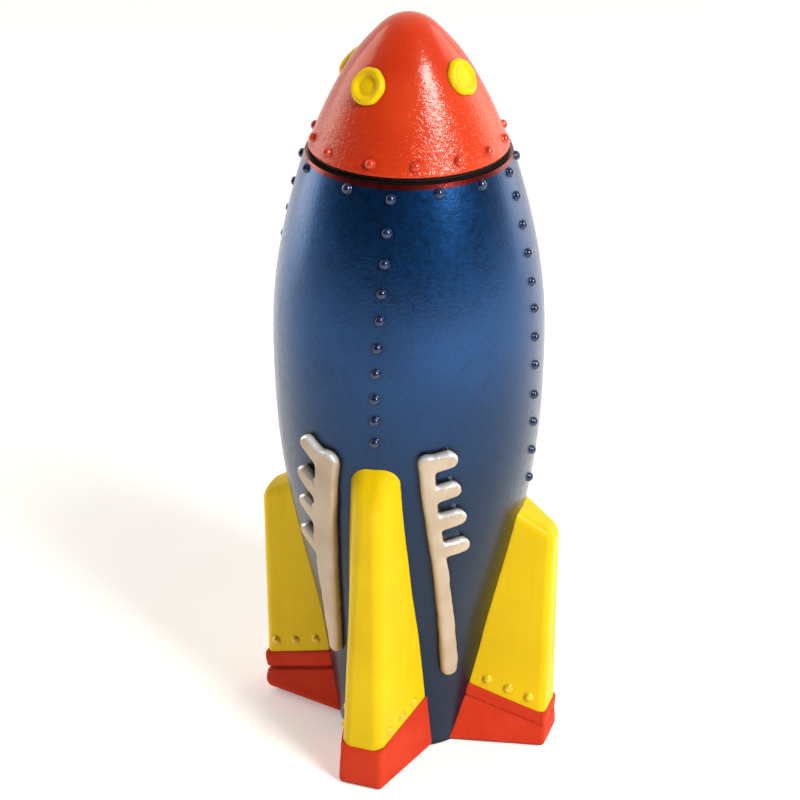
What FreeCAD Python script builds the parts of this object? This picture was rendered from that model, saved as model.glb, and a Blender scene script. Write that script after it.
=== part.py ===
import FreeCAD, Part
import math
import os
import Sketcher
from FreeCAD import Vector, Rotation, Placement

# Tin space rocket: a riveted four-panel hull with a slip-on nose cap, four
# hollow wedge fins in rubber boots and four cast exhaust manifolds.
# Frame: +Z up, origin on the axis at floor level, front fin along -Y.
# Azimuths are degrees from -Y, growing towards +X.

doc = FreeCAD.newDocument("tin_space_rocket")

# ---------------------------------------------------------------- dimensions
sheet = doc.addObject("Spreadsheet::Sheet", "dims")
DIMS = [
    ("total_height", 230.0), ("hull_skin", 0.8), ("hull_base", 0.4), ("hull_top", 190.7),
    ("hull_ra", 22.3), ("hull_rb", 24.9), ("hull_rc", 27.9), ("hull_rd", 32.1), ("hull_re", 36.1),
    ("hull_rf", 38.9), ("hull_rg", 39.9), ("hull_rh", 39.2), ("hull_ri", 35.1), ("hull_rj", 29.5),
    ("hull_za", 0.4), ("hull_zb", 20.4), ("hull_zc", 40.8), ("hull_zd", 61.2), ("hull_ze", 81.6),
    ("hull_zf", 102.0), ("hull_zg", 124.0), ("hull_zh", 148.0), ("hull_zi", 171.3), ("hull_zj", 190.7),
    ("seam_front", 7.5), ("seam_right", 86.5), ("seam_rear", 187.5), ("seam_left", 273.5),
    ("seam_lap", 8.5), ("lean_rate", 0.03),
    ("rivet_head_radius", 1.45), ("rivet_head_height", 1.4), ("rivet_shank_radius", 0.7),
    ("rivet_hole_radius", 0.75), ("rivet_tail_radius", 1.15),
    
    ("neck_bore_radius", 26.0), ("neck_low", 182.5), ("neck_skin", 1.0),
    ("seal_low", 190.95), ("seal_high", 191.8), ("seal_inner_radius", 26.0), ("seal_outer_radius", 27.6),
    ("nose_low", 192.3), ("nose_skin", 0.9), ("nose_ra", 28.8), ("nose_rb", 27.0), ("nose_rc", 24.95),
    ("nose_rd", 20.15), ("nose_re", 15.35), ("nose_rf", 9.75), ("nose_rg", 5.7),
    ("nose_zb", 196.0), ("nose_zc", 200.8), ("nose_zd", 210.5), ("nose_ze", 218.3), ("nose_zf", 224.8),
    ("nose_zg", 228.35),
    ("sleeve_radius", 25.6), ("sleeve_skin", 1.0), ("sleeve_low", 179.0), ("sleeve_high", 198.0),
    ("porthole_radius", 5.4),
    ("porthole_dish_radius", 2.8), ("porthole_rise", 1.9), ("porthole_spigot_radius", 3.8),
    ("porthole_hole_radius", 3.9),
    ("tall_reach", 44.6), ("tall_top", 102.2), ("tall_apex", 107.7), ("tall_half_low", 6.5), ("tall_half_high", 3.7),
    ("tall_root_low", 13.3), ("tall_root_mid", 10.7), ("tall_root_high", 6.6),
    ("short_reach", 46.6), ("short_top", 73.5), ("short_apex", 80.5), ("short_half_low", 6.5), ("short_half_high", 4.3),
    ("short_root_low", 12.8), ("short_root_mid", 8.2), ("short_root_high", 6.4),
    ("left_reach", 46.6), ("left_top", 75.5), ("left_apex", 81.5), ("left_half_low", 6.5), ("left_half_high", 4.3),
    ("left_root_low", 12.8), ("left_root_mid", 8.2), ("left_root_high", 6.4),
    ("fin_skin", 1.4), ("fin_edge_round", 1.8), ("tab_skin", 1.0), ("tab_slot", 1.3),
    ("front_boot_outer", 14.0), ("front_boot_inner", 20.3), ("right_boot_outer", 12.4), ("right_boot_inner", 20.6),
    ("left_boot_outer", 15.4), ("left_boot_inner", 23.0), ("boot_floor", 3.0), ("boot_proud", 0.5),
    ("boot_wall", 2.3), ("groove_drop", 5.2), ("groove_width", 1.3), ("groove_depth", 0.9),
    ("manifold_proud", 3.0), ("tail_plate_skin", 0.9), ("tail_plate_low", 1.2), ("tail_plate_flange", 7.0),
]
for row, (alias, value) in enumerate(DIMS, start=1):
    sheet.set("A%d" % row, alias)
    sheet.set("B%d" % row, repr(value))
    sheet.setAlias("B%d" % row, alias)
doc.recompute()


def dim(alias):
    return float(getattr(sheet, alias))


# ---------------------------------------------------------------- profiles
HULL_POINTS = [(dim("hull_r" + c), dim("hull_z" + c)) for c in "abcdefghij"]
NOSE_POINTS = [(dim("nose_ra"), dim("nose_low"))] + [(dim("nose_r" + c), dim("nose_z" + c)) for c in "bcdefg"]


def spline(points, start=None, end=None):
    """A B-spline in the r-z plane through (r, z) points."""
    curve = Part.BSplineCurve()
    pts = [Vector(r, z, 0) for r, z in points]
    if start is not None:
        curve.interpolate(Points=pts, InitialTangent=start, FinalTangent=end)
    else:
        curve.interpolate(Points=pts)
    return curve


HULL_CURVE = spline(HULL_POINTS)
NOSE_CURVE = spline(NOSE_POINTS + [(0.0, dim("total_height"))], Vector(-0.55, 1, 0), Vector(-1, 0, 0))


def at_height(curve, z):
    """Radius and outward normal tilt (degrees above level) of a profile curve at a height."""
    low, high = curve.FirstParameter, curve.LastParameter
    for _ in range(60):
        mid = 0.5 * (low + high)
        if curve.value(mid).y < z:
            low = mid
        else:
            high = mid
    p = 0.5 * (low + high)
    t = curve.tangent(p)[0]
    return curve.value(p).x, math.degrees(math.atan2(-t.x, t.y))


def hull_radius(z):
    return at_height(HULL_CURVE, z)[0]


def offset_points(curve, inset, count, z_first=None, z_last=None, on_axis=False):
    """Points of the curve moved inwards by inset, with level ends."""
    out = []
    for i in range(count + 1):
        p = curve.FirstParameter + (curve.LastParameter - curve.FirstParameter) * i / count
        q = curve.value(p)
        t = curve.tangent(p)[0]
        t.normalize()
        n = Vector(t.y, -t.x, 0)
        out.append([q.x - n.x * inset, q.y - n.y * inset])
    if z_first is not None:
        out[0] = [at_height(curve, z_first + 0.001)[0] - inset / math.cos(math.radians(at_height(curve, z_first + 0.001)[1])), z_first]
    if z_last is not None:
        out[-1] = [at_height(curve, z_last - 0.001)[0] - inset / math.cos(math.radians(at_height(curve, z_last - 0.001)[1])), z_last]
    if on_axis:
        out[-1][0] = 0.0
    return [tuple(p) for p in out]


HULL_INNER = offset_points(HULL_CURVE, dim("hull_skin"), 14, dim("hull_base"), dim("hull_top"))
HULL_LAP = offset_points(HULL_CURVE, 2 * dim("hull_skin"), 14, dim("hull_base"), dim("hull_top"))
NOSE_INNER = offset_points(NOSE_CURVE, dim("nose_skin"), 16, dim("nose_low"), None, True)
HULL_INNER_CURVE = spline(HULL_INNER)
HULL_LAP_CURVE = spline(HULL_LAP)
NOSE_INNER_CURVE = spline(NOSE_INNER, Vector(-0.55, 1, 0), Vector(-1, 0, 0))


# ---------------------------------------------------------------- helpers
def plane(body, role):
    return [f for f in body.Origin.OriginFeatures if f.Role == role][0]


def new_body(name):
    body = doc.addObject("PartDesign::Body", name)
    body.Label = name
    return body


def new_sketch(body, name, role, curves, offset=None, closed=True):
    """A closed sketch of curves end to end on one of the body's own planes."""
    sk = body.newObject("Sketcher::SketchObject", name)
    sk.AttachmentSupport = [(plane(body, role), "")]
    sk.MapMode = "FlatFace"
    if offset is not None:
        sk.AttachmentOffset = offset
    ids = [sk.addGeometry(c, False) for c in curves]
    for a, b in zip(ids, ids[1:] + ids[:1]):
        sk.addConstraint(Sketcher.Constraint("Coincident", a, 2, b, 1))
    return sk


def polygon(points):
    pts = [Vector(x, y, 0) for x, y in points]
    return [Part.LineSegment(a, b) for a, b in zip(pts, pts[1:] + pts[:1])]


def bind(sk, kind, geo, pos, value, expression):
    """A dimension from the sketch origin to a vertex, driven by the sheet."""
    i = sk.addConstraint(Sketcher.Constraint(kind, -1, 1, geo, pos, value))
    sk.setExpression("Constraints[%d]" % i, expression)


def turned(angle):
    """Turns an XZ-plane sketch about its vertical axis."""
    return Placement(Vector(0, 0, 0), Rotation(Vector(0, 1, 0), angle))


def revolve(body, sk, name, angle=360.0, expression=None):
    rev = body.newObject("PartDesign::Revolution", name)
    rev.Profile = sk
    rev.ReferenceAxis = (sk, ["V_Axis"])
    rev.Angle = angle
    if expression:
        rev.setExpression("Angle", expression)
    return rev


def reversed_curve(curve):
    c = curve.copy()
    c.reverse()
    return c


def line(a, b):
    return Part.LineSegment(Vector(a[0], a[1], 0), Vector(b[0], b[1], 0))


def end(curve, last):
    v = curve.value(curve.LastParameter if last else curve.FirstParameter)
    return (v.x, v.y)


def direction(azimuth):
    a = math.radians(azimuth)
    return Vector(math.sin(a), -math.cos(a), 0)


def on_surface(curve, azimuth, z):
    """Placement with its own +Z along the surface normal at that azimuth and height."""
    r, tilt = at_height(curve, z)
    d = direction(azimuth)
    t = math.radians(tilt)
    n = d * math.cos(t) + Vector(0, 0, math.sin(t))
    return Placement(d * r + Vector(0, 0, z), Rotation(Vector(0, 0, 1), n))


def placed(shape, placement):
    s = shape.copy()
    s.transformShape(placement.toMatrix(), True)
    return s


def feature(name, shape):
    f = doc.addObject("Part::Feature", name)
    f.Label = name
    f.Shape = shape
    return f


def boolean(kind, name, base, tool):
    f = doc.addObject(kind, name)
    f.Label = name
    f.Base = base
    f.Tool = tool
    return f


EXPORTS = []


def keep(obj):
    EXPORTS.append(obj)
    return obj


# ---------------------------------------------------------------- solid forms used for trimming
hull_form = new_body("hull_form")
top, low = end(HULL_CURVE, True), end(HULL_CURVE, False)
sk = new_sketch(hull_form, "hull_form_profile", "XZ_Plane",
                [HULL_CURVE.copy(), line(top, (0, top[1])), line((0, top[1]), (0, -4.0)),
                 line((0, -4.0), (low[0], -4.0)), line((low[0], -4.0), low)])
bind(sk, "DistanceY", 1, 2, top[1], "dims.hull_top")
revolve(hull_form, sk, "hull_form_turn")

hull_void = new_body("hull_void")
vt, vl = end(HULL_INNER_CURVE, True), end(HULL_INNER_CURVE, False)
sk = new_sketch(hull_void, "hull_void_profile", "XZ_Plane",
                [HULL_INNER_CURVE.copy(), line(vt, (0, vt[1])), line((0, vt[1]), (0, vl[1])), line((0, vl[1]), vl)])
revolve(hull_void, sk, "hull_void_turn")

nose_form = new_body("nose_form")
nl = end(NOSE_CURVE, False)
sk = new_sketch(nose_form, "nose_form_profile", "XZ_Plane",
                [NOSE_CURVE.copy(), line((0, dim("total_height")), (0, nl[1])), line((0, nl[1]), nl)])
bind(sk, "DistanceY", 0, 2, dim("total_height"), "dims.total_height")
revolve(nose_form, sk, "nose_form_turn")

# ---------------------------------------------------------------- rivet masters
def rivet_body(name, grip):
    """A domed rivet: head above z = 0, shank down through grip, bucked tail."""
    b = new_body(name)
    rh, hh = dim("rivet_head_radius"), dim("rivet_head_height")
    rs, rt = dim("rivet_shank_radius"), dim("rivet_tail_radius")
    ball = (rh * rh + hh * hh) / (2 * hh)
    c = hh - ball
    a0 = math.atan2(-c, rh)
    arc = Part.Arc(Vector(rh, 0, 0), Vector(ball * math.cos((a0 + math.pi / 2) / 2), c + ball * math.sin((a0 + math.pi / 2) / 2), 0), Vector(0, hh, 0))
    s = new_sketch(b, name + "_profile", "XZ_Plane", [
        arc, line((0, hh), (0, -grip - 0.6)), line((0, -grip - 0.6), (rt * 0.7, -grip - 0.6)),
        line((rt * 0.7, -grip - 0.6), (rt, -grip - 0.1)), line((rt, -grip - 0.1), (rs, -grip - 0.1)),
        line((rs, -grip - 0.1), (rs, 0)), line((rs, 0), (rh, 0))])
    bind(s, "DistanceY", 0, 2, hh, "dims.rivet_head_height")
    bind(s, "DistanceX", 0, 1, rh, "dims.rivet_head_radius")
    revolve(b, s, name + "_turn")
    return b


seam_rivet = rivet_body("seam_rivet_master", 2 * dim("hull_skin") + 0.05)
rim_rivet = rivet_body("rim_rivet_master", dim("hull_skin") + dim("neck_skin") + 0.15)
cap_rivet = rivet_body("cap_rivet_master", dim("nose_skin") + dim("sleeve_skin") + 0.25)
fin_rivet = rivet_body("fin_rivet_master", dim("boot_wall") - dim("boot_proud") + dim("fin_skin") + 0.6)
doc.recompute()

# Rivet rows as (azimuth, height): each follows its seam.
FRONT_ROW = [(9.4, 178.1), (8.9, 169.8), (8.1, 161.6), (7.7, 154.0), (6.8, 146.0), (6.3, 138.3), (5.9, 130.4), (5.8, 123.6), (5.7, 116.6)]
RIGHT_ROW = [(87.1, 180.6), (86.6, 172.4), (86.0, 164.2), (85.7, 155.8), (85.5, 147.7), (84.9, 139.0), (85.4, 130.0), (85.5, 120.4), (86.6, 111.1), (88.0, 101.2), (91.3, 90.6)]
REAR_ROW = [(a + 180.0, z) for a, z in FRONT_ROW]
LEFT_ROW = [(278.0, 178.3), (275.0, 169.3), (275.5, 161.3), (270.5, 153.2), (270.0, 145.0), (270.5, 137.0), (271.4, 129.2),
            (272.5, 121.2), (277.0, 113.8), (272.0, 105.2), (271.0, 96.6)]
RIM_ROW = [(281.0, 187.7), (309.3, 188.6), (346.3, 188.2), (10.8, 186.9), (35.8, 188.1), (61.0, 188.0), (86.3, 187.5), (106.5, 188.5),
           (131.5, 188.1), (156.5, 188.1), (181.5, 188.0), (206.3, 188.1), (231.3, 188.1), (256.3, 188.1)]
NOSE_ROW = [(301.0, 195.9), (325.0, 195.3), (357.8, 195.2), (24.2, 195.0), (50.0, 195.15), (73.5, 195.15), (98.0, 195.0), (122.0, 195.0),
            (147.0, 195.0), (172.0, 195.0), (197.0, 195.1), (223.0, 195.1), (249.0, 195.1), (275.0, 195.3)]


def rivet_group(name, master, curve, spots, bedding=0.0):
    """Rivets of one row; bedding lifts the heads clear of a hollow curve."""
    shape = master.Shape.copy()
    shape.translate(Vector(0, 0, bedding))
    return feature(name, Part.makeCompound([placed(shape, on_surface(curve, a, z)) for a, z in spots]))


def drill(name, curve, spots, depth=5.0):
    rod = Part.makeCylinder(dim("rivet_hole_radius"), depth + 2.0, Vector(0, 0, -depth))
    return [placed(rod, on_surface(curve, a, z)) for a, z in spots]


# Slots for the fin tabs, two per fin.
TAB_LEVELS = ((30.0, 10.0), (58.0, 10.0))


def tab_box(azimuth, z, height, skin, inner, outer):
    b = Part.makeBox(skin, outer - inner, height, Vector(-skin / 2, -outer, z))
    b.rotate(Vector(0, 0, 0), Vector(0, 0, 1), azimuth)
    return b


hull_cuts = drill("d", HULL_CURVE, FRONT_ROW + RIGHT_ROW + REAR_ROW + LEFT_ROW + RIM_ROW)
for az in (0, 90, 180, 270):
    for z, height in TAB_LEVELS:
        r = hull_radius(z + height / 2)
        hull_cuts.append(tab_box(az, z - 0.2, height + 0.4, dim("tab_slot"), r - 6, r + 3))
hull_drill = feature("hull_drill", Part.makeCompound(hull_cuts))

# ---------------------------------------------------------------- hull panels
SEAMS = ["front", "right", "rear", "left"]
PANELS = [("hull_panel_front_right", "front", "right"), ("hull_panel_rear_right", "right", "rear"),
          ("hull_panel_rear_left", "rear", "left"), ("hull_panel_front_left", "left", "front")]
skin_curves = [HULL_CURVE.copy(), line(top, vt), reversed_curve(HULL_INNER_CURVE), line(vl, low)]
lt, ll = end(HULL_LAP_CURVE, True), end(HULL_LAP_CURVE, False)
lap_curves = [HULL_INNER_CURVE.copy(), line(vt, lt), reversed_curve(HULL_LAP_CURVE), line(ll, vl)]
# The lap starts below the neck ring so that the ring seats on the plain skin.
LAP_TOP = dim("neck_low") - 1.2
lap_in, lap_out = [], []
for i in range(15):
    z = dim("hull_base") + (LAP_TOP - dim("hull_base")) * i / 14
    lap_out.append((at_height(HULL_INNER_CURVE, z)[0], z))
    lap_in.append((at_height(HULL_LAP_CURVE, z)[0], z))
lap_out[0], lap_in[0] = vl, ll
lap_o, lap_i = spline(lap_out), spline(lap_in)
lap_curves = [lap_o, line(end(lap_o, True), end(lap_i, True)), reversed_curve(lap_i), line(end(lap_i, False), end(lap_o, False))]
for name, first, second in PANELS:
    b = new_body(name + "_blank")
    start = dim("seam_" + first) + dim("seam_lap")
    stop = dim("seam_" + second) + dim("seam_lap")
    wrap = "" if stop > start else " + 360"
    span = stop - start if stop > start else stop - start + 360
    s1 = new_sketch(b, name + "_skin", "XZ_Plane", [c.copy() for c in skin_curves])
    r1 = revolve(b, s1, name + "_turn", span, "dims.seam_%s - dims.seam_%s%s" % (second, first, wrap))
    doc.recompute()
    # The joggled lap lies under the neighbour's edge, a skin deeper.
    s2 = new_sketch(b, name + "_lap", "XZ_Plane", [c.copy() for c in lap_curves], turned(-2 * dim("seam_lap")))
    r2 = revolve(b, s2, name + "_lap_turn", 2 * dim("seam_lap") + 1.5, "2 * dims.seam_lap + 1.5")
    b.Placement = Placement(Vector(0, 0, 0), Rotation(Vector(0, 0, 1), start - 90))
    b.Tip = r2
    keep(boolean("Part::Cut", name, b, hull_drill))

keep(rivet_group("seam_rivets_front", seam_rivet, HULL_CURVE, FRONT_ROW))
keep(rivet_group("seam_rivets_right", seam_rivet, HULL_CURVE, RIGHT_ROW))
keep(rivet_group("seam_rivets_rear", seam_rivet, HULL_CURVE, REAR_ROW))
keep(rivet_group("seam_rivets_left", seam_rivet, HULL_CURVE, LEFT_ROW))
keep(rivet_group("neck_rivets", rim_rivet, HULL_CURVE, RIM_ROW))

# ---------------------------------------------------------------- neck ring, seal, tail plate
neck = new_body("neck_ring_blank")
z0, z1, ts, nb = dim("neck_low"), dim("hull_top"), dim("neck_skin"), dim("neck_bore_radius")
ri0 = at_height(HULL_INNER_CURVE, z0)[0] - 0.02
ri1 = at_height(HULL_INNER_CURVE, z1 - 0.01)[0] - 0.02
zf = z1 - ts
rif = ri0 + (ri1 - ri0) * (zf - z0) / (z1 - z0)
s = new_sketch(neck, "neck_profile", "XZ_Plane", polygon([(ri0, z0), (ri1, z1), (nb, z1), (nb, zf), (rif - ts, zf), (ri0 - ts, z0)]))
bind(s, "DistanceX", 2, 1, nb, "dims.neck_bore_radius")
bind(s, "DistanceY", 1, 1, z1, "dims.hull_top")
revolve(neck, s, "neck_turn")
keep(boolean("Part::Cut", "neck_ring", neck, hull_drill))

seal = new_body("seal_ring")
si, so, sl, sh = dim("seal_inner_radius"), dim("seal_outer_radius"), dim("seal_low"), dim("seal_high")
s = new_sketch(seal, "seal_profile", "XZ_Plane", polygon([(si, sl), (so, sl), (so, sh), (si, sh)]))
bind(s, "DistanceX", 0, 1, si, "dims.seal_inner_radius")
bind(s, "DistanceX", 0, 2, so, "dims.seal_outer_radius")
bind(s, "DistanceY", 0, 1, sl, "dims.seal_low")
bind(s, "DistanceY", 2, 1, sh, "dims.seal_high")
revolve(seal, s, "seal_turn")
keep(seal)

tail = new_body("tail_plate")
tl, tk, tf = dim("tail_plate_low"), dim("tail_plate_skin"), dim("tail_plate_flange")
ra = at_height(HULL_LAP_CURVE, tl)[0] - 0.1
rb = at_height(HULL_LAP_CURVE, tf)[0] - 0.1
s = new_sketch(tail, "tail_profile", "XZ_Plane", polygon([(0, tl), (ra, tl), (rb, tf), (rb - tk, tf), (ra - tk, tl + tk), (0, tl + tk)]))
bind(s, "DistanceY", 0, 1, tl, "dims.tail_plate_low")
bind(s, "DistanceY", 2, 1, tf, "dims.tail_plate_flange")
revolve(tail, s, "tail_turn")
keep(tail)

# ---------------------------------------------------------------- nose cap
cap_cuts = drill("d", NOSE_CURVE, NOSE_ROW)
port_rod = Part.makeCylinder(dim("porthole_hole_radius"), 6.0, Vector(0, 0, -4.0))
PORTS = [("porthole_front", -18.2, 213.7), ("porthole_right", 75.2, 214.8), ("porthole_rear", 163.0, 213.6), ("porthole_left", -106.5, 212.0)]
port_spots = [on_surface(NOSE_CURVE, a, z) for _, a, z in PORTS]
cap_drill = feature("cap_drill", Part.makeCompound(cap_cuts + [placed(port_rod, p) for p in port_spots]))

cone = new_body("nose_cone_blank")
ni = end(NOSE_INNER_CURVE, False)
nt = end(NOSE_INNER_CURVE, True)
s = new_sketch(cone, "nose_profile", "XZ_Plane",
               [NOSE_CURVE.copy(), line((0, dim("total_height")), nt), reversed_curve(NOSE_INNER_CURVE), line(ni, nl)])
bind(s, "DistanceY", 0, 2, dim("total_height"), "dims.total_height")
revolve(cone, s, "nose_turn")
keep(boolean("Part::Cut", "nose_cone", cone, cap_drill))

sleeve = new_body("nose_sleeve_blank")
sr, sk_, s0, s1h = dim("sleeve_radius"), dim("sleeve_skin"), dim("sleeve_low"), dim("sleeve_high")
za = dim("nose_low") + 0.35
pa = at_height(NOSE_INNER_CURVE, za)[0] - 0.03
pb = at_height(NOSE_INNER_CURVE, s1h)[0] - 0.03
pc = at_height(NOSE_INNER_CURVE, za + 0.45)[0] - 0.03
flange = [(at_height(NOSE_INNER_CURVE, za + k)[0] - 0.03, za + k) for k in (0.8, 1.6, 2.4, 3.2, 4.0)]
s = new_sketch(sleeve, "sleeve_profile", "XZ_Plane",
               polygon([(sr - sk_, s0), (sr, s0), (sr, za - 0.6), (pa, za)] + flange + [(pb, s1h), (pb - sk_ - 0.1, s1h), (pc - sk_ - 0.1, za + 0.45), (sr - sk_, za)]))
bind(s, "DistanceX", 0, 2, sr, "dims.sleeve_radius")
bind(s, "DistanceY", 0, 2, s0, "dims.sleeve_low")
revolve(sleeve, s, "sleeve_turn")
keep(boolean("Part::Cut", "nose_sleeve", sleeve, cap_drill))
keep(rivet_group("nose_rivets", cap_rivet, NOSE_CURVE, NOSE_ROW, 0.03))

# Portholes: a fat rounded ring round a small dished centre, on a spigot.
port = new_body("porthole_master")
pr, pd, pz, ps = dim("porthole_radius"), dim("porthole_dish_radius"), dim("porthole_rise"), dim("porthole_spigot_radius")
ring_arc = Part.Arc(Vector(pr, 0.3, 0), Vector((pr + pd) / 2 + 0.3, pz, 0), Vector(pd, 0.7, 0))
s = new_sketch(port, "porthole_profile", "XZ_Plane", [
    line((0, -1.6), (pr, -1.6)), line((pr, -1.6), (pr, 0.3)), ring_arc, line((pd, 0.7), (0, 0.55)), line((0, 0.55), (0, -1.6))])
bind(s, "DistanceX", 0, 2, pr, "dims.porthole_radius")
revolve(port, s, "porthole_turn")
doc.recompute()
spigot = Part.makeCylinder(ps, 2.3, Vector(0, 0, -1.9))
for (name, _, _), spot in zip(PORTS, port_spots):
    flange = placed(port.Shape, spot).cut(nose_form.Shape)
    flange = max(flange.Solids, key=lambda q: q.Volume)
    keep(feature(name, flange.fuse(placed(spigot, spot)).removeSplitter()))

# ---------------------------------------------------------------- fins and boots
LEAN = dim("lean_rate")


def fin_widths(kind):
    hi = dim(kind + "_apex") + 6.0
    t = dim(kind + "_top")

    def half(z):
        return dim(kind + "_half_low") + (dim(kind + "_half_high") - dim(kind + "_half_low")) * z / t

    mid = 0.45 * t
    z_nodes = [0.0, mid, hi]
    roots = [dim(kind + "_root_low"), dim(kind + "_root_mid"), dim(kind + "_root_high")]
    return z_nodes, half, roots


def section(kind, z, root, half, grow=0.0, front=0.0, deep=4.0):
    """Plan of a fin at height z: narrow outer face, flanks opening towards the hull."""
    reach = dim(kind + "_reach") + front
    w = half + grow
    rt = math.sqrt(max(hull_radius(max(z, 0.5)) ** 2 - root ** 2, 4.0))
    slope = (root - half) / (dim(kind + "_reach") - rt)
    inner = rt - deep
    wi = root + slope * deep + grow
    c = LEAN * z
    return [(c - w, -reach), (c + w, -reach), (c + wi, -inner), (c - wi, -inner)]


def loft(body, name, kind, levels, grow=0.0, front=0.0, cls="PartDesign::AdditiveLoft", deep=4.0):
    """Straight-sided loft through plan sections at the given heights."""
    zs, half, roots = fin_widths(kind)
    sks = []
    for i, z in enumerate(levels):
        if z <= zs[1]:
            root = roots[0] + (roots[1] - roots[0]) * (z - zs[0]) / (zs[1] - zs[0])
        else:
            root = roots[1] + (roots[2] - roots[1]) * (z - zs[1]) / (zs[2] - zs[1])
        s = new_sketch(body, "%s_%d" % (name, i), "XY_Plane", polygon(section(kind, z, root, half(z), grow, front, deep)),
                       Placement(Vector(0, 0, z), Rotation()))
        sks.append(s)
    f = body.newObject(cls, name)
    f.Profile = sks[0]
    f.Sections = sks[1:]
    f.Ruled = True
    return f


def side_cut(body, name, points):
    """Cuts away a region drawn in side view (y, z), right across."""
    s = new_sketch(body, name + "_outline", "YZ_Plane", polygon(points))
    p = body.newObject("PartDesign::Pocket", name)
    p.Profile = s
    p.Type = 1
    p.Midplane = True
    return p


def boot_line(where, y):
    """Height of the fin/boot boundary at distance y from the axis (rises towards the hull)."""
    outer, inner = dim(where + "_boot_outer"), dim(where + "_boot_inner")
    return outer + (inner - outer) / 22.0 * (45.0 - abs(y))


FINS = [("front", "tall", 0, "front"), ("right", "short", 90, "right"), ("rear", "tall", 180, "front"), ("left", "left", 270, "left")]
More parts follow.
